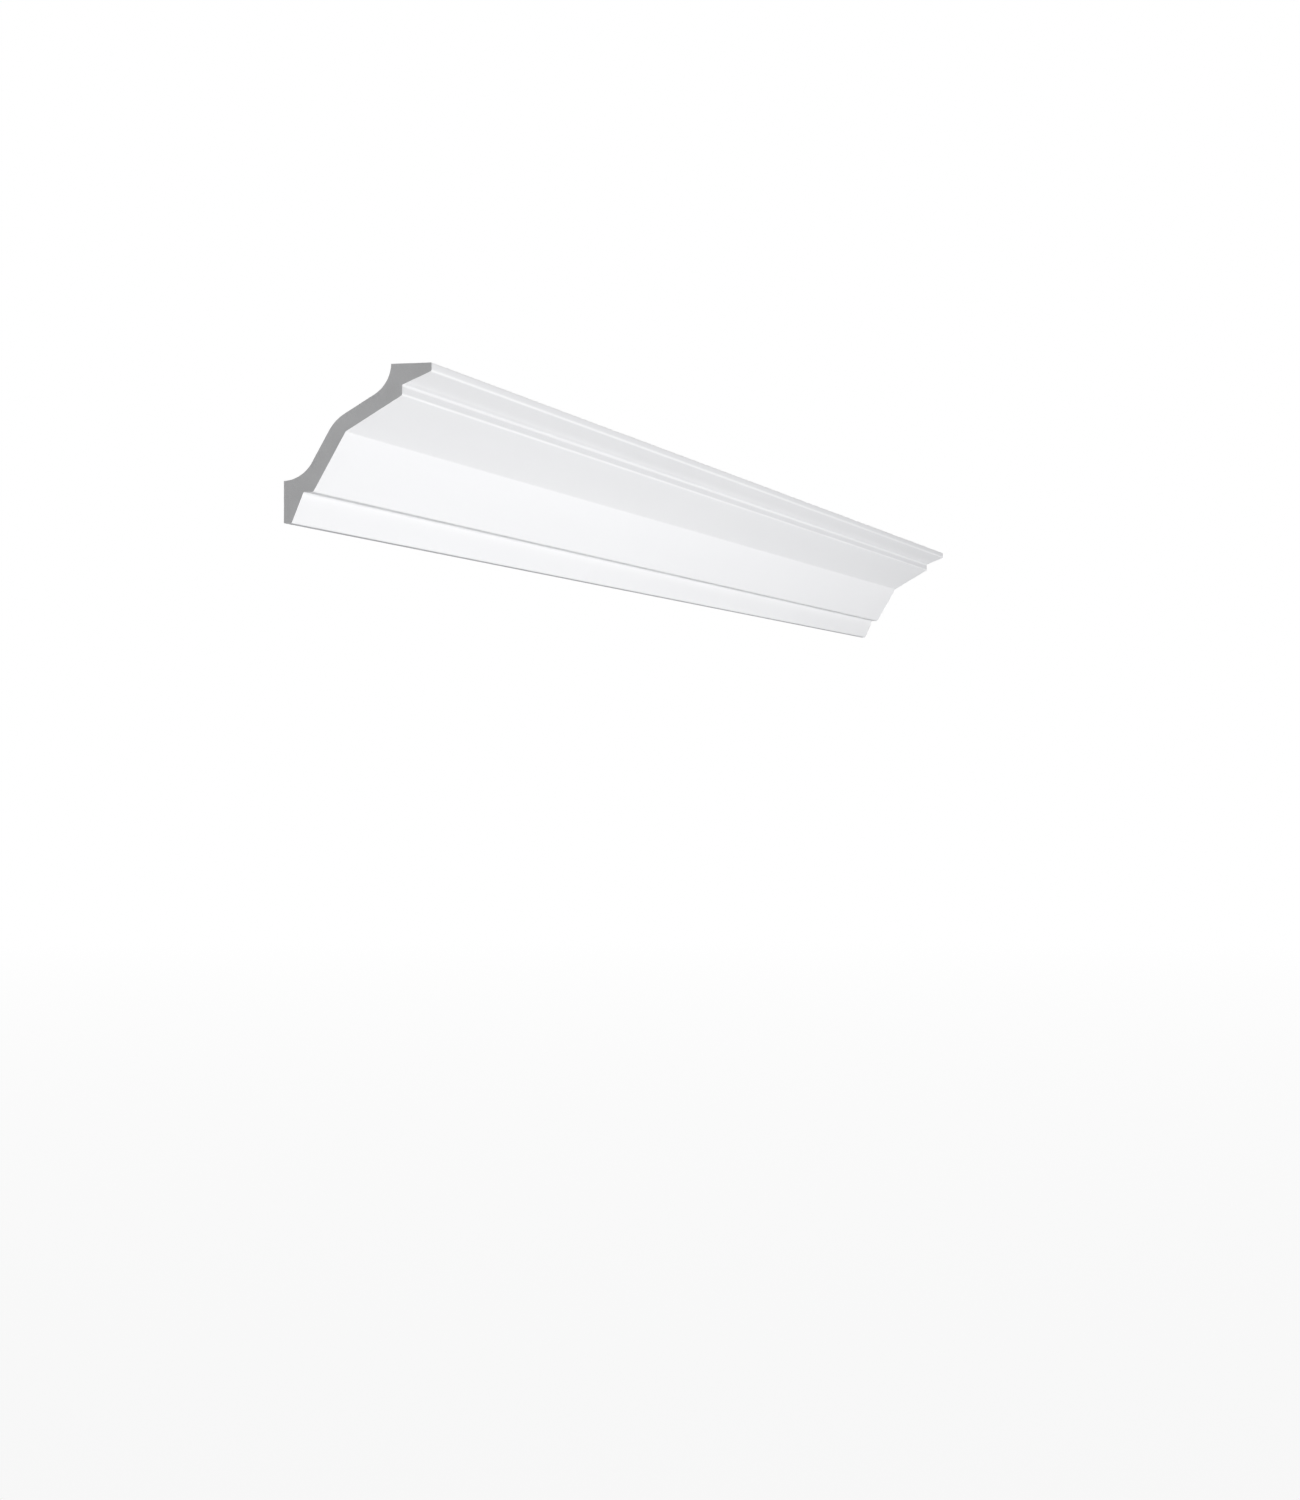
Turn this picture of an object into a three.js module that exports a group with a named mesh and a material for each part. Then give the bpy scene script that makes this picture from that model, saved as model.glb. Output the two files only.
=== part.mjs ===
// Crown moulding length: one piece of white hard-foam moulding that bridges the corner between a wall and a ceiling.
// Its section is the same from end to end. The front has a splayed border along each surface and two broad facets
// that meet in a valley; the back is a thin shell, hollow behind, between a flat bearing on the wall and one on the
// ceiling. Both ends are cut square.
//
// The section is worked out in two measures: out, from the wall into the room, and down, from the ceiling.
// Frame: millimetres, +X along the moulding, +Y into the wall, +Z up, origin in the middle of the wall bearing.
import * as THREE from 'three';

// Driving dimensions, in millimetres and degrees
const length = 1500; // end to end
const projection = 80; // out from the wall, along the ceiling
const drop = 80; // down from the ceiling, along the wall
const bearing = 21.7; // width of each flat that is glued down, on the wall and on the ceiling
const shell = 8.2; // thickness behind the broad facets
const valleyDepth = 9.1; // how far the facets sink behind a straight line from one border to the other

// The two borders, each from its rim inwards
const edge = 4.25; // square edge at the rim
const splayRun = 15.8; // width of the splay, along the surface
const splayAngle = 22.5; // slope of the splay, from the surface
const step = 5.3; // square step from the splay to the broad facet

// Rounded stretches
const arrisRadius = 1; // softened corners of the front
const coveRadius = 18.5; // hollow cove behind each border
const bendRadius = 24; // bend at the middle of the back
const arrisSegments = 5; // straight pieces in a softened corner
const coveSegments = 14; // straight pieces in a cove and in the bend

const vector = (out, down) => new THREE.Vector2(out, down);
const moved = (from, way, distance) => from.clone().addScaledVector(way, distance);

// Points of the arc about centre from one point to the other, the short way round
function arc(centre, from, to, segments) {
  const start = from.clone().sub(centre);
  const end = to.clone().sub(centre);
  const radius = start.length();
  const clockwise = start.cross(end) < 0;
  const circle = new THREE.EllipseCurve(
    centre.x, centre.y, radius, radius, start.angle(), end.angle(), clockwise);
  return circle.getPoints(segments);
}

// Points of a rounded corner between the points before and after it
function roundedCorner(before, corner, after, radius, segments) {
  const back = before.clone().sub(corner).normalize();
  const ahead = after.clone().sub(corner).normalize();
  const halfAngle = Math.acos(back.dot(ahead)) / 2;
  const reach = radius / Math.tan(halfAngle);
  const centre = moved(corner, back.clone().add(ahead).normalize(), radius / Math.sin(halfAngle));
  return arc(centre, moved(corner, back, reach), moved(corner, ahead, reach), segments);
}

// Corners of a border that runs along the ceiling, from its rim inwards to where the broad facet starts
function borderCorners(rim) {
  const splayFall = splayRun * Math.tan(THREE.MathUtils.degToRad(splayAngle));
  return [
    vector(rim, 0),
    vector(rim, edge),
    vector(rim - splayRun, edge + splayFall),
    vector(rim - splayRun, edge + splayFall + step),
  ];
}

// The border along the wall is the same with out and down exchanged
const exchanged = ({ x, y }) => vector(y, x);

// One side of the section: a border, where its bearing ends, and the back of its broad facet, a shell behind it.
// The facet runs from the border to the valley, and inward points from it towards the corner of wall and ceiling.
function sideOf(corners, bearingEnd, valley) {
  const facetStart = corners.at(-1);
  const run = valley.clone().sub(facetStart).normalize();
  const inward = vector(-run.y, run.x);
  if (inward.dot(facetStart) > 0) inward.negate();
  return { corners, bearingEnd, run, inward, backStart: moved(facetStart, inward, shell) };
}

// Cove from the end of a bearing into the back of the facet, which it meets without a corner
function cove({ bearingEnd, run, inward, backStart }) {
  const clearance = bearingEnd.clone().sub(backStart).dot(inward);
  const rise = coveRadius - clearance;
  const reach = Math.sqrt(coveRadius ** 2 - rise ** 2);
  const centre = moved(moved(bearingEnd, inward, rise), run, reach);
  return arc(centre, bearingEnd, moved(centre, inward, -coveRadius), coveSegments);
}

// The section's outline: across the front from the ceiling to the wall, and back behind the shell
function sectionOutline() {
  const ceilingCorners = borderCorners(projection);
  const wallCorners = borderCorners(drop).map(exchanged);
  const facetSpan = wallCorners.at(-1).clone().sub(ceilingCorners.at(-1));
  const middle = moved(ceilingCorners.at(-1), facetSpan, 0.5);
  const sinkWay = vector(facetSpan.y, -facetSpan.x).normalize();
  if (sinkWay.dot(middle) > 0) sinkWay.negate();
  const valley = moved(middle, sinkWay, valleyDepth);

  const ceilingSide = sideOf(ceilingCorners, vector(projection - bearing, 0), valley);
  const wallSide = sideOf(wallCorners, vector(0, drop - bearing), valley);

  const corners = [...ceilingCorners, valley, ...wallCorners.toReversed()];
  const front = corners.slice(1, -1).flatMap((corner, i) =>
    roundedCorner(corners[i], corner, corners[i + 2], arrisRadius, arrisSegments));

  const bendWay = ceilingSide.inward.clone().add(wallSide.inward).normalize();
  const bend = moved(valley, bendWay, shell / bendWay.dot(ceilingSide.inward));
  const back = [
    ...cove(wallSide),
    ...roundedCorner(wallSide.backStart, bend, ceilingSide.backStart, bendRadius, coveSegments),
    ...cove(ceilingSide).toReversed(),
  ];
  return [corners[0], ...front, corners.at(-1), ...back];
}

const whitePrimer = new THREE.MeshStandardMaterial({ color: 0xf4f4f5, roughness: 0.6, metalness: 0 });

// The section is extruded and turned, so that out becomes -Y, down becomes -Z and the extrusion +X
function crownMoulding() {
  const section = new THREE.Shape(sectionOutline());
  const geometry = new THREE.ExtrudeGeometry(section, { depth: length, bevelEnabled: false });
  const moulding = new THREE.Mesh(geometry, whitePrimer);
  moulding.name = 'crown_moulding';
  moulding.rotation.set(-Math.PI / 2, Math.PI / 2, 0);
  moulding.position.set(-length / 2, 0, drop - bearing / 2);
  return moulding;
}

const part = new THREE.Group();
part.add(crownMoulding());

export default part;
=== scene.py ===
import math

import bpy
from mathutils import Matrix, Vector


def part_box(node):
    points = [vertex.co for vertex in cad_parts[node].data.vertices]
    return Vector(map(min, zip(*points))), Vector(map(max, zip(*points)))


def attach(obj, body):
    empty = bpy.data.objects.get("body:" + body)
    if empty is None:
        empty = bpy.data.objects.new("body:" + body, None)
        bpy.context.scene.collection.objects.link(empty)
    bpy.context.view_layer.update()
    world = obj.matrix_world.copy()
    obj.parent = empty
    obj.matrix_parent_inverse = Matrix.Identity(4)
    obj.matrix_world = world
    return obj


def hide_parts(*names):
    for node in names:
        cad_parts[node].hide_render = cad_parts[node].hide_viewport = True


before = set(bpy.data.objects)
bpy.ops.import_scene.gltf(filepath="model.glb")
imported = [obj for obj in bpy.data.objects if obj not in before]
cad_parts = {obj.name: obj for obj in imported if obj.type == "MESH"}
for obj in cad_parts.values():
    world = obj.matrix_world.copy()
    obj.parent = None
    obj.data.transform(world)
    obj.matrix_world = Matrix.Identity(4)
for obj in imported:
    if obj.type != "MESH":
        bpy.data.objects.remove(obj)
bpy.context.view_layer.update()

scene = bpy.context.scene
print("frame loaded")


# Helpers for node trees

def addNode(tree, kind, inputs=None, **settings):
    node = tree.nodes.new(kind)
    for name, value in settings.items():
        setattr(node, name, value)
    for name, value in (inputs or {}).items():
        if isinstance(value, bpy.types.NodeSocket):
            tree.links.new(value, node.inputs[name])
        else:
            node.inputs[name].default_value = value
    return node


def addMath(tree, operation, first, second=0.0):
    return addNode(tree, "ShaderNodeMath", {0: first, 1: second}, operation=operation).outputs[0]


def addRange(tree, value, fromLow, fromHigh, toLow=0.0, toHigh=1.0):
    # Clamped at both ends
    node = addNode(tree, "ShaderNodeMapRange", {
        "Value": value, "From Min": fromLow, "From Max": fromHigh, "To Min": toLow, "To Max": toHigh})
    return node.outputs[0]


def mixColors(tree, share, first, second):
    return addNode(tree, "ShaderNodeMix", {0: share, 6: first, 7: second}, data_type="RGBA").outputs[2]


def mixValues(tree, share, first, second):
    return addNode(tree, "ShaderNodeMix", {0: share, 2: first, 3: second}).outputs[0]


def newTree(kind, name, inputs, outputs):
    tree = bpy.data.node_groups.new(name, kind)
    for label, socketType, value in inputs:
        socket = tree.interface.new_socket(label, in_out="INPUT", socket_type=socketType)
        if value is not None:
            socket.default_value = value
    for label, socketType in outputs:
        tree.interface.new_socket(label, in_out="OUTPUT", socket_type=socketType)
    return tree, addNode(tree, "NodeGroupInput").outputs, addNode(tree, "NodeGroupOutput").inputs


# Effects that more than one finish uses

noiseSpan = (0.3, 0.7)  # nearly all values of a noise lie between these
driftSpan = (0.35, 0.65)  # a narrower span, so that patches of each tone are clear
waveTurn = 20  # radians that a wave texture of scale 1 runs through in one metre


def objectPoint(tree, along, across):
    # Place on the object, times one scale along the moulding and another across it
    place = addNode(tree, "ShaderNodeTexCoord").outputs["Object"]
    scale = addNode(tree, "ShaderNodeCombineXYZ", {"X": along, "Y": across, "Z": across}).outputs[0]
    return addNode(tree, "ShaderNodeVectorMath", {0: place, 1: scale}, operation="MULTIPLY").outputs[0]


def addNoise(tree, place, detail):
    return addNode(tree, "ShaderNodeTexNoise", {
        "Vector": place, "Scale": 1.0, "Detail": detail}).outputs[0]


def grainEffect():
    # Fine even grain: the peel of a sprayed coat, or the cells of foam
    tree, given, result = newTree("ShaderNodeTree", "fineGrain", [
        ("Per Metre", "NodeSocketFloat", 1000.0),
        ("Cells", "NodeSocketFloat", 0.5),
    ], [("Height", "NodeSocketFloat")])
    place = objectPoint(tree, given["Per Metre"], given["Per Metre"])
    soft = addNoise(tree, place, 2.0)
    cells = addNode(tree, "ShaderNodeTexVoronoi", {"Vector": place, "Scale": 1.0}).outputs[0]
    tree.links.new(mixValues(tree, given["Cells"], soft, cells), result["Height"])
    return tree


def drawnLineEffect():
    # Faint lines that run the whole length, as a die leaves them
    tree, given, result = newTree("ShaderNodeTree", "drawnLines", [
        ("Lines Per Metre", "NodeSocketFloat", 600.0),
        ("Waver", "NodeSocketFloat", 0.8),
    ], [("Height", "NodeSocketFloat")])
    place = objectPoint(tree, given["Waver"], given["Lines Per Metre"])
    tree.links.new(addNoise(tree, place, 3.0), result["Height"])
    return tree


def toneDriftEffect():
    # Slow drift from one tone to another
    tree, given, result = newTree("ShaderNodeTree", "toneDrift", [
        ("Along Per Metre", "NodeSocketFloat", 3.0),
        ("Across Per Metre", "NodeSocketFloat", 12.0),
        ("First", "NodeSocketColor", None),
        ("Second", "NodeSocketColor", None),
    ], [("Color", "NodeSocketColor"), ("Share", "NodeSocketFloat")])
    place = objectPoint(tree, given["Along Per Metre"], given["Across Per Metre"])
    share = addRange(tree, addNoise(tree, place, 3.0), *driftSpan)
    tree.links.new(mixColors(tree, share, given["First"], given["Second"]), result["Color"])
    tree.links.new(share, result["Share"])
    return tree


fineGrain = grainEffect()
drawnLines = drawnLineEffect()
toneDrift = toneDriftEffect()


def addGroup(tree, group, inputs):
    return addNode(tree, "ShaderNodeGroup", inputs, node_tree=group).outputs


def startMaterial(name):
    material = bpy.data.materials.new(name)
    material.use_nodes = True
    return material, material.node_tree, material.node_tree.nodes["Principled BSDF"].inputs


def addBump(tree, height, depth, under=None):
    node = addNode(tree, "ShaderNodeBump", {"Height": height, "Distance": depth, "Strength": 1.0})
    if under is not None:
        tree.links.new(under, node.inputs["Normal"])
    return node.outputs[0]


def addRelief(tree, shader, broad, broadDepth, fine, fineDepth):
    # Fine relief on top of a broader one
    under = addBump(tree, broad, broadDepth)
    tree.links.new(addBump(tree, fine, fineDepth, under), shader["Normal"])


# Finishes

primer = {
    "tone": (0.92, 0.92, 0.923, 1),
    "secondTone": (0.905, 0.905, 0.91, 1),
    "paintedShadeTone": (0.62, 0.622, 0.63, 1),  # painted shade: the darker grey put in the inside corners and on the undersides
    "shadeSpeckle": 0.12,
    "peelPerMetre": 1400,
    "peelCells": 0.15,  # share of cells in the grain, against soft noise
    "peelDepth": 0.000012,
    "linesPerMetre": 420,
    "lineDepth": 0.00001,
    "roughness": (0.58, 0.68),
    "specular": 0.2,
}

foamSkin = {
    "tone": (0.64, 0.64, 0.635, 1),
    "secondTone": (0.57, 0.57, 0.565, 1),
    "cellsPerMetre": 1100,
    "grainCells": 0.6,  # share of cells in the grain, against soft noise
    "cellDepth": 0.00006,
    "linesPerMetre": 260,
    "lineDepth": 0.00008,
    "roughness": (0.7, 0.82),
    "mistEdge": (0.2, 0.55),  # share of primer at which the mist of overspray starts and is full
    "mistSpeckle": 0.2,
    "speckleSpan": (0.2, 0.8),  # heights of the grain between which the speckle runs
    "mistWander": 0.3,  # how far the mist's edge wanders along the length, in the same share
    "mistCover": 0.5,
    "wanderPerMetre": 9.0,
}

sawnFoam = {
    "tone": (0.52, 0.52, 0.52, 1),
    "secondTone": (0.48, 0.48, 0.48, 1),
    "driftPerMetre": 60.0,
    "cellsPerMetre": 2600,
    "grainCells": 0.8,  # share of cells in the grain, against soft noise
    "cellDepth": 0.00012,
    "kerfSpacing": 0.012083,  # from one faint kerf to the next
    "kerfDepth": 0.00005,
    "kerfSlant": 62,
    "kerfWaver": 1.6,
    "cellTone": (0.62, 0.62, 0.62, 1),  # the thin walls of the cells that the saw tore open
    "cellShare": 0.25,
    "tornSpan": (0.1, 0.7),  # heights of the grain over which the torn walls come to show
    "roughness": 0.85,
}


def primedFinish():
    p = primer
    material, tree, shader = startMaterial("white primer")
    drift = addGroup(tree, toneDrift, {"First": p["tone"], "Second": p["secondTone"]})
    peel = addGroup(tree, fineGrain, {"Per Metre": p["peelPerMetre"], "Cells": p["peelCells"]})
    lines = addGroup(tree, drawnLines, {"Lines Per Metre": p["linesPerMetre"]})
    # Painted shade: the colour darkens towards a grey in the inside corners and on the undersides, where
    # shade falls, speckled by the peel grain
    paintedShade = addNode(tree, "ShaderNodeAttribute", attribute_name="paintedShade").outputs["Fac"]
    speckle = addRange(tree, peel["Height"], *noiseSpan, -p["shadeSpeckle"], p["shadeSpeckle"])
    shadeShare = addMath(tree, "MULTIPLY", paintedShade, addMath(tree, "ADD", speckle, 1.0 - p["shadeSpeckle"]))
    tree.links.new(mixColors(tree, shadeShare, drift["Color"], p["paintedShadeTone"]), shader["Base Color"])
    tree.links.new(addRange(tree, lines["Height"], *noiseSpan, *p["roughness"]), shader["Roughness"])
    shader["Specular IOR Level"].default_value = p["specular"]
    addRelief(tree, shader, lines["Height"], p["lineDepth"], peel["Height"], p["peelDepth"])
    return material


def foamSkinFinish():
    f = foamSkin
    material, tree, shader = startMaterial("bare foam skin")
    drift = addGroup(tree, toneDrift, {"First": f["tone"], "Second": f["secondTone"]})
    cells = addGroup(tree, fineGrain, {"Per Metre": f["cellsPerMetre"], "Cells": f["grainCells"]})
    lines = addGroup(tree, drawnLines, {"Lines Per Metre": f["linesPerMetre"]})
    # Primer that drifted over the rims in spraying, in a ragged mist
    share = addNode(tree, "ShaderNodeAttribute", attribute_name="primer").outputs["Fac"]
    speckle = addRange(tree, cells["Height"], *f["speckleSpan"], -f["mistSpeckle"], f["mistSpeckle"])
    patches = addGroup(tree, toneDrift, {"Along Per Metre": f["wanderPerMetre"]})["Share"]
    wander = addRange(tree, patches, 0.0, 1.0, 1.0 - f["mistWander"], 1.0 + f["mistWander"])
    spread = addMath(tree, "MULTIPLY", share, addMath(tree, "ADD", wander, speckle))
    mist = addRange(tree, spread, *f["mistEdge"], 0.0, f["mistCover"])
    tree.links.new(mixColors(tree, mist, drift["Color"], primer["tone"]), shader["Base Color"])
    tree.links.new(addRange(tree, lines["Height"], *noiseSpan, *f["roughness"]), shader["Roughness"])
    addRelief(tree, shader, lines["Height"], f["lineDepth"], cells["Height"], f["cellDepth"])
    return material


def sawnFoamFinish():
    f = sawnFoam
    material, tree, shader = startMaterial("sawn foam")
    drift = addGroup(tree, toneDrift, {
        "Across Per Metre": f["driftPerMetre"], "First": f["tone"], "Second": f["secondTone"]})
    cells = addGroup(tree, fineGrain, {"Per Metre": f["cellsPerMetre"], "Cells": f["grainCells"]})
    place = addNode(tree, "ShaderNodeTexCoord").outputs["Object"]
    # The blade came down on a slant, and left faint kerfs in its path
    turned = addNode(tree, "ShaderNodeMapping", {
        "Vector": place, "Rotation": (math.radians(f["kerfSlant"]), 0, 0)}).outputs[0]
    kerfs = addNode(tree, "ShaderNodeTexWave", {
        "Vector": turned, "Scale": 2 * math.pi / (waveTurn * f["kerfSpacing"]),
        "Distortion": f["kerfWaver"], "Detail": 2.0,
    }, bands_direction="Z").outputs["Fac"]
    torn = addRange(tree, cells["Height"], *f["tornSpan"], 0.0, f["cellShare"])
    tree.links.new(mixColors(tree, torn, drift["Color"], f["cellTone"]), shader["Base Color"])
    shader["Roughness"].default_value = f["roughness"]
    addRelief(tree, shader, kerfs, f["kerfDepth"], cells["Height"], f["cellDepth"])
    return material


frontFinish = primedFinish()
backFinish = foamSkinFinish()
endFinish = sawnFoamFinish()
print("finishes made")


# The moulding's section, in two measures: out from the wall, and down from the ceiling

section = {
    "bearing": 0.0217,  # width of each flat that is glued down
    "shell": 0.0082,  # thickness behind the broad facets
    "valleyDepth": 0.0091,  # how far the facets sink behind a straight line from border to border
    "edge": 0.00425,  # square edge at the rim of each border
    "splayRun": 0.0158,
    "splayAngle": 22.5,
    "step": 0.0053,  # square step from the splay to the broad facet
    "arrisRadius": 0.001,  # softened corners of the front
    "rimRadius": 0.0002,  # the corners where the front meets the wall and the ceiling
    "coveRadius": 0.0185,
    "bendRadius": 0.024,
    "arrisSteps": 8,
    "coveSteps": 28,
    "stepsAlong": 31,
    "sharpAngle": 30,  # edges that turn more than this stay sharp
    "flatWeight": 100,  # how far the large faces rule the shading of the small ones beside them
    "oversprayReach": 0.009,  # how far the primer drifted on over the bearings
    "shadeReach": 0.0035,  # how far from an inside corner, along the splay, the painted shade reaches
    "clearOfArris": 1.3,  # how far from a softened corner the points beside it stand, in its radii
    # Shares of painted shade, on the broad facets and on each border from its rim inwards
    "facetShade": 0.19,
    "ceilingShade": {
        "rim": 0.36, "edge": 0.19, "lower": 0.0, "splay": 0.19,
        "besideInside": 0.52, "inside": 0.44, "step": 0.79, "stepEnd": 0.77, "outer": 0.19,
    },
    "wallShade": {
        "rim": 0.95, "edge": 0.95, "lower": 0.19, "splay": 0.19,
        "besideInside": 0.19, "inside": 0.44, "step": 0.95, "stepEnd": 0.95, "outer": 0.19,
    },
}


def sectionCorners(projection, drop):
    # Sharp corners round the section, each with its rounding radius, steps in the rounding, share of
    # primer and share of painted shade
    s = section
    splayFall = s["splayRun"] * math.tan(math.radians(s["splayAngle"]))

    def borderCorners(rim):  # along the ceiling, from the rim inwards
        inner = rim - s["splayRun"]
        splayEnd = s["edge"] + splayFall
        return [Vector((rim, 0)), Vector((rim, s["edge"])),
                Vector((inner, splayEnd)), Vector((inner, splayEnd + s["step"]))]

    ceilingFront = borderCorners(projection)
    wallFront = [corner.yx for corner in borderCorners(drop)]
    span = wallFront[-1] - ceilingFront[-1]
    middle = (ceilingFront[-1] + wallFront[-1]) / 2
    sink = Vector((span.y, -span.x)).normalized()
    if sink.dot(middle) > 0:
        sink.negate()
    valley = middle + sink * s["valleyDepth"]

    def behind(front, bearingEnd):
        # Way into the hollow from one facet, and the corner that its cove rounds
        run = (valley - front[-1]).normalized()
        inward = Vector((-run.y, run.x))
        if inward.dot(front[-1]) > 0:
            inward.negate()
        start = front[-1] + inward * s["shell"]
        rise = s["coveRadius"] - (bearingEnd - start).dot(inward)
        reach = math.sqrt(s["coveRadius"] ** 2 - rise ** 2)
        tangent = bearingEnd + inward * (rise - s["coveRadius"]) + run * reach
        halfTurn = math.asin((bearingEnd - tangent).length / 2 / s["coveRadius"])
        return inward, tangent - run * s["coveRadius"] * math.tan(halfTurn)

    ceilingEnd = Vector((projection - s["bearing"], 0))
    wallEnd = Vector((0, drop - s["bearing"]))
    ceilingInward, ceilingCove = behind(ceilingFront, ceilingEnd)
    wallInward, wallCove = behind(wallFront, wallEnd)
    bendWay = (ceilingInward + wallInward).normalized()
    bend = valley + bendWay * (s["shell"] / bendWay.dot(ceilingInward))

    def fromTo(start, end, distance):
        return start + (end - start).normalized() * distance

    def rounded(paintedShade):
        return s["arrisRadius"], s["arrisSteps"], 1.0, paintedShade

    def flat(paintedShade):
        return 0.0, 1, 1.0, paintedShade

    def rim(paintedShade):
        return s["rimRadius"], s["arrisSteps"], 1.0, paintedShade

    bare = (0.0, 1, 0.0, 0.0)
    cove = (s["coveRadius"], s["coveSteps"], 0.0, 0.0)

    def borderFront(front, shadeShare):
        # From the rim inwards, past the inside corner to where the broad facet starts
        edge, lower, inside, outer = front
        clear = s["clearOfArris"] * s["arrisRadius"]
        # Each point gets its share of painted shade from the border's table
        return [
            (edge, *rim(shadeShare["rim"])),
            (fromTo(lower, edge, clear), *flat(shadeShare["edge"])),
            (lower, *rounded(shadeShare["lower"])),
            (fromTo(lower, inside, clear), *flat(shadeShare["splay"])),
            (fromTo(inside, lower, s["shadeReach"]), *flat(shadeShare["splay"])),
            (fromTo(inside, lower, clear), *flat(shadeShare["besideInside"])),
            (inside, *rounded(shadeShare["inside"])),
            (fromTo(inside, outer, clear), *flat(shadeShare["step"])),
            (fromTo(outer, inside, clear), *flat(shadeShare["stepEnd"])),
            (outer, *rounded(shadeShare["outer"])),
        ]

    return [
        *borderFront(ceilingFront, s["ceilingShade"]),
        (valley, *rounded(s["facetShade"])),
        *reversed(borderFront(wallFront, s["wallShade"])),
        (wallFront[0] - Vector((0, s["oversprayReach"])), *bare),
        (wallEnd, *bare),
        (wallCove, *cove),
        (bend, s["bendRadius"], s["coveSteps"], 0.0, 0.0),
        (ceilingCove, *cove),
        (ceilingEnd, *bare),
        (ceilingFront[0] - Vector((s["oversprayReach"], 0)), *bare),
    ]


def sectionLoop(name, projection, drop):
    # The section as a closed loop of edges that carries what the sweep needs to know of each corner
    corners = sectionCorners(projection, drop)
    mesh = bpy.data.meshes.new(name)
    edges = [(i, (i + 1) % len(corners)) for i in range(len(corners))]
    mesh.from_pydata([(*corner[0], 0) for corner in corners], edges, [])
    # The last column is each corner's share of painted shade
    columns = (
        ("rounding", "FLOAT"), ("roundingSteps", "INT"), ("primer", "FLOAT"), ("paintedShade", "FLOAT"))
    for column, (label, kind) in enumerate(columns, 1):
        attribute = mesh.attributes.new(label, kind, "POINT")
        attribute.data.foreach_set("value", [corner[column] for corner in corners])
    piece = bpy.data.objects.new(name, mesh)
    scene.collection.objects.link(piece)
    return piece


def sweepTree():
    # Rounds the section's corners, sweeps it from end to end, and finishes the front, back and ends
    mergeDistance = 1e-6
    endNormal = 0.5  # faces that point more than this along the moulding are its ends
    primedShare = 0.999  # faces with a smaller share of primer have the back's finish
    tree, given, result = newTree("GeometryNodeTree", "mouldingSweep", [
        ("Section", "NodeSocketGeometry", None),
        ("Left End", "NodeSocketFloat", 0.0),
        ("Right End", "NodeSocketFloat", 1.0),
        ("Ceiling Height", "NodeSocketFloat", 0.0),
        ("Steps Along", "NodeSocketInt", 2),
        ("Front Finish", "NodeSocketMaterial", None),
        ("Back Finish", "NodeSocketMaterial", None),
        ("End Finish", "NodeSocketMaterial", None),
    ], [("Moulding", "NodeSocketGeometry")])

    def stored(label, kind):
        return addNode(
            tree, "GeometryNodeInputNamedAttribute", {"Name": label}, data_type=kind).outputs[0]

    def atCeiling(along):
        return addNode(tree, "ShaderNodeCombineXYZ", {
            "X": along, "Z": given["Ceiling Height"]}).outputs[0]

    def finished(geometry, selection, material):
        return addNode(tree, "GeometryNodeSetMaterial", {
            "Geometry": geometry, "Selection": selection, "Material": material}).outputs[0]

    loop = addNode(tree, "GeometryNodeMeshToCurve", {"Mesh": given["Section"]}).outputs[0]
    outline = addNode(tree, "GeometryNodeFilletCurve", {
        "Curve": loop, "Radius": stored("rounding", "FLOAT"), "Count": stored("roundingSteps", "INT"),
    }, mode="POLY").outputs[0]
    line = addNode(tree, "GeometryNodeCurvePrimitiveLine", {
        "Start": atCeiling(given["Left End"]), "End": atCeiling(given["Right End"])}).outputs[0]
    path = addNode(tree, "GeometryNodeResampleCurve", {
        "Curve": line, "Count": given["Steps Along"]}).outputs[0]
    swept = addNode(tree, "GeometryNodeCurveToMesh", {
        "Curve": path, "Profile Curve": outline, "Fill Caps": True}).outputs[0]
    closed = addNode(tree, "GeometryNodeMergeByDistance", {
        "Geometry": swept, "Distance": mergeDistance}).outputs[0]

    normal = addNode(tree, "GeometryNodeInputNormal").outputs[0]
    lengthwise = addNode(tree, "ShaderNodeSeparateXYZ", {"Vector": normal}).outputs["X"]
    isEnd = addMath(tree, "GREATER_THAN", addMath(tree, "ABSOLUTE", lengthwise), endNormal)
    isBare = addMath(tree, "LESS_THAN", stored("primer", "FLOAT"), primedShare)
    skin = finished(closed, True, given["Front Finish"])
    skin = finished(skin, isBare, given["Back Finish"])
    skin = finished(skin, isEnd, given["End Finish"])
    real = addNode(tree, "GeometryNodeRealizeInstances", {"Geometry": skin}).outputs[0]
    tree.links.new(real, result["Moulding"])
    return tree


def setInputs(modifier, values):
    # A modifier's inputs are set by each socket's identifier
    for item in modifier.node_group.interface.items_tree:
        if item.item_type == "SOCKET" and item.in_out == "INPUT" and item.name in values:
            modifier[item.identifier] = values[item.name]


def makePlain(piece):
    # The evaluated shape becomes the piece's own mesh, and its modifiers go
    depsgraph = bpy.context.evaluated_depsgraph_get()
    mesh = bpy.data.meshes.new_from_object(
        piece.evaluated_get(depsgraph), preserve_all_data_layers=True, depsgraph=depsgraph)
    mesh.name = piece.name
    piece.modifiers.clear()
    piece.data = mesh


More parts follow.
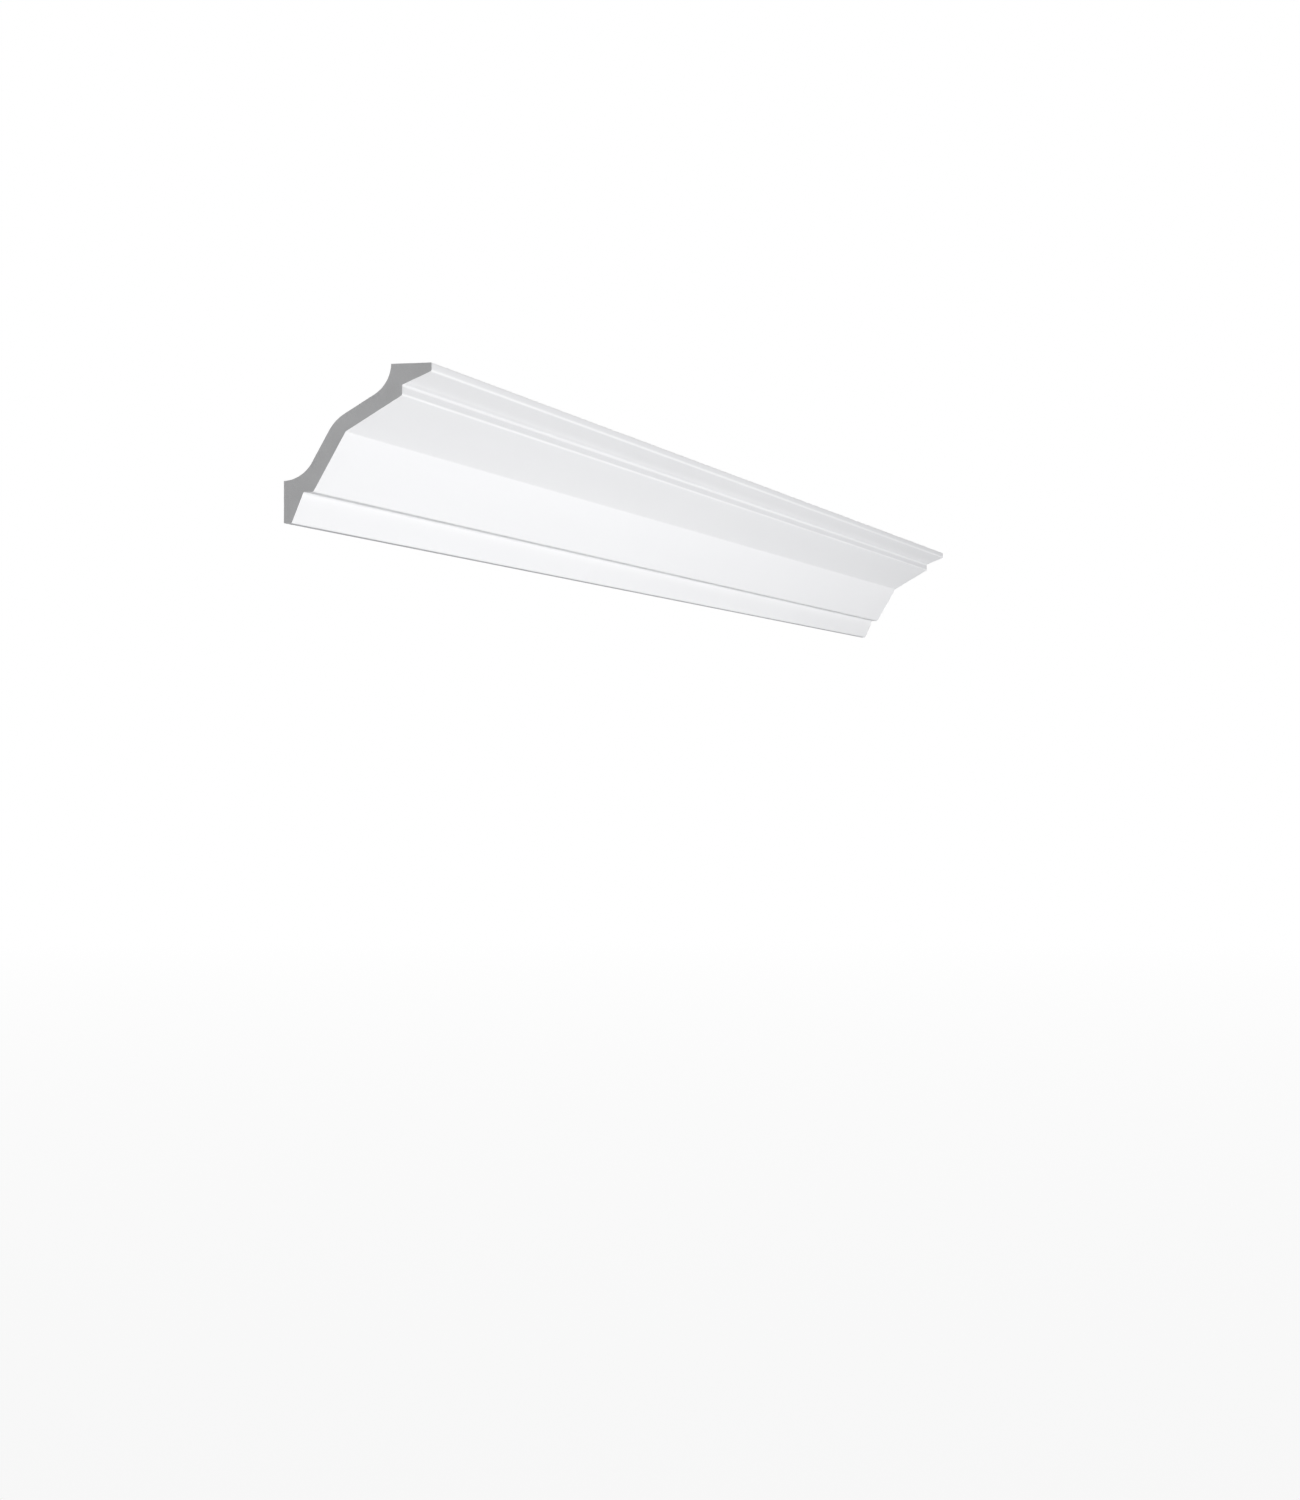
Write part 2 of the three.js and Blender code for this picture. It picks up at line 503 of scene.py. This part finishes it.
def makeMoulding():
    low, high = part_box("crown_moulding")
    piece = sectionLoop("moulding_length", high.y - low.y, high.z - low.z)
    sweep = piece.modifiers.new("sweep", "NODES")
    sweep.node_group = sweepTree()
    setInputs(sweep, {
        "Left End": low.x,
        "Right End": high.x,
        "Ceiling Height": high.z,
        "Steps Along": section["stepsAlong"],
        "Front Finish": frontFinish,
        "Back Finish": backFinish,
        "End Finish": endFinish,
    })
    makePlain(piece)
    # Smooth round the softened corners and the coves, with the flats left truly flat
    piece.data.set_sharp_from_angle(angle=math.radians(section["sharpAngle"]))
    weighted = piece.modifiers.new("flats", "WEIGHTED_NORMAL")
    weighted.keep_sharp = True
    weighted.weight = section["flatWeight"]
    makePlain(piece)
    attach(piece, "root")
    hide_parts("crown_moulding")
    return piece


moulding = makeMoulding()
print("moulding made:", len(moulding.data.polygons), "faces")


# The camera stands in the room a little below the ceiling, and looks along the moulding, slightly
# towards the wall

view = {
    "lens": 76.8,
    "beforeLeftEnd": 1.536,
    "offWall": 0.6103,
    "belowCeiling": 0.2051,
    "towardsWall": 15.14,
    "upwards": 0.304,
}

# Studio: a pale floor far below, as under a ceiling, a pale backdrop and soft lights

studio = {
    "roomHeight": 2.5,
    "floorRadius": 150,
    "floorSides": 96,
    "brightTone": 1.0,  # where the camera looks
    "brightWithin": 19,
    "dimTone": 0.7,  # all round from there, so that white stands out from other sides too
    "dimBeyond": 38,
    "floorShade": 0.93,  # the floor is a little darker than the backdrop, and meets it far away
    "shadeFrom": 6.0,
    "shadeTo": 40.0,
    "underneath": (2.5, 7.0),  # how far out the dim floor below the moulding starts and stops to brighten
    "ambient": (0.9, 0.94, 1.06, 1),
    "ambientStrength": 0.08,
    "lightsTarget": (-0.12, -0.04, 0.03),
}

softboxes = {
    "frontLight": {"place": (-0.475, -3.3, -2.15), "size": 2.2, "power": 163},
    "backLight": {"place": (0.1, 2.6, 2.2), "size": 3.0, "power": 88},
    "leftLight": {"place": (-3.325, -0.4, 0.3), "size": 1.2, "power": 40},
    "rightLight": {"place": (3.2, 0.8, 0.8), "size": 1.2, "power": 46},
}


def brightShare(tree, towards):
    # 1 in the way that the camera looks, and 0 well aside of it
    turn = math.radians(view["towardsWall"])
    ahead = addNode(tree, "ShaderNodeVectorMath", {
        0: towards, 1: (math.cos(turn), math.sin(turn), 0)}, operation="DOT_PRODUCT").outputs["Value"]
    return addRange(tree, ahead, math.cos(math.radians(studio["dimBeyond"])),
                    math.cos(math.radians(studio["brightWithin"])))


def studioTone(tree, bright):
    return mixValues(tree, bright, studio["dimTone"], studio["brightTone"])


def makeFloor(height):
    radius = studio["floorRadius"]
    turns = [2 * math.pi * i / studio["floorSides"] for i in range(studio["floorSides"])]
    ring = [(radius * math.cos(turn), radius * math.sin(turn), height) for turn in turns]
    mesh = bpy.data.meshes.new("floor")
    mesh.from_pydata(ring, [], [tuple(range(len(ring)))])
    floor = bpy.data.objects.new("floor", mesh)
    scene.collection.objects.link(floor)
    material = bpy.data.materials.new("pale floor")
    material.use_nodes = True
    tree = material.node_tree
    tree.nodes.clear()
    place = addNode(tree, "ShaderNodeTexCoord").outputs["Object"]
    flat = addNode(tree, "ShaderNodeVectorMath", {
        0: place, 1: (1, 1, 0)}, operation="MULTIPLY").outputs[0]
    away = addNode(tree, "ShaderNodeVectorMath", {0: flat}, operation="LENGTH").outputs["Value"]
    towards = addNode(tree, "ShaderNodeVectorMath", {0: flat}, operation="NORMALIZE").outputs[0]
    clear = addRange(tree, away, *studio["underneath"])
    bright = addMath(tree, "MULTIPLY", brightShare(tree, towards), clear)
    shade = addRange(tree, away, studio["shadeFrom"], studio["shadeTo"], studio["floorShade"], 1.0)
    tone = addMath(tree, "MULTIPLY", studioTone(tree, bright), shade)
    glow = addNode(tree, "ShaderNodeEmission", {"Color": tone})
    output = addNode(tree, "ShaderNodeOutputMaterial")
    tree.links.new(glow.outputs[0], output.inputs[0])
    mesh.materials.append(material)
    floor.visible_diffuse = False
    floor.visible_glossy = False
    floor.visible_shadow = False


def makeWorld():
    # The backdrop is only for the camera, and the moulding is lit by an even soft ambient instead
    world = bpy.data.worlds.new("studio")
    world.use_nodes = True
    tree = world.node_tree
    tree.nodes.clear()
    soft = addNode(tree, "ShaderNodeBackground", {
        "Color": studio["ambient"], "Strength": studio["ambientStrength"]}).outputs[0]
    towards = addNode(tree, "ShaderNodeTexCoord").outputs["Generated"]
    backdrop = addNode(tree, "ShaderNodeBackground", {
        "Color": (1, 1, 1, 1), "Strength": studioTone(tree, brightShare(tree, towards))}).outputs[0]
    seen = addNode(tree, "ShaderNodeLightPath").outputs["Is Camera Ray"]
    mixed = addNode(tree, "ShaderNodeMixShader", {0: seen, 1: soft, 2: backdrop}).outputs[0]
    tree.links.new(mixed, addNode(tree, "ShaderNodeOutputWorld").inputs[0])
    scene.world = world


def makeSoftbox(name, place, size, power):
    data = bpy.data.lights.new(name, "AREA")
    data.shape = "DISK"
    data.size = size
    data.energy = power
    light = bpy.data.objects.new(name, data)
    light.location = place
    light.rotation_mode = "QUATERNION"
    way = Vector(studio["lightsTarget"]) - Vector(place)
    light.rotation_quaternion = way.to_track_quat("-Z", "Y")
    scene.collection.objects.link(light)


def makeCamera():
    low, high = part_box("crown_moulding")
    data = bpy.data.cameras.new("camera")
    data.lens = view["lens"]
    camera = bpy.data.objects.new("camera", data)
    camera.location = (
        low.x - view["beforeLeftEnd"], high.y - view["offWall"], high.z - view["belowCeiling"])
    yaw = math.radians(view["towardsWall"])
    pitch = math.radians(view["upwards"])
    look = Vector((
        math.cos(yaw) * math.cos(pitch), math.sin(yaw) * math.cos(pitch), math.sin(pitch)))
    camera.rotation_mode = "QUATERNION"
    camera.rotation_quaternion = look.to_track_quat("-Z", "Y")
    scene.collection.objects.link(camera)
    scene.camera = camera


makeFloor(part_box("crown_moulding")[1].z - studio["roomHeight"])
makeWorld()
for name, box in softboxes.items():
    makeSoftbox(name, **box)
makeCamera()
scene.view_settings.view_transform = "Standard"
print("studio made")
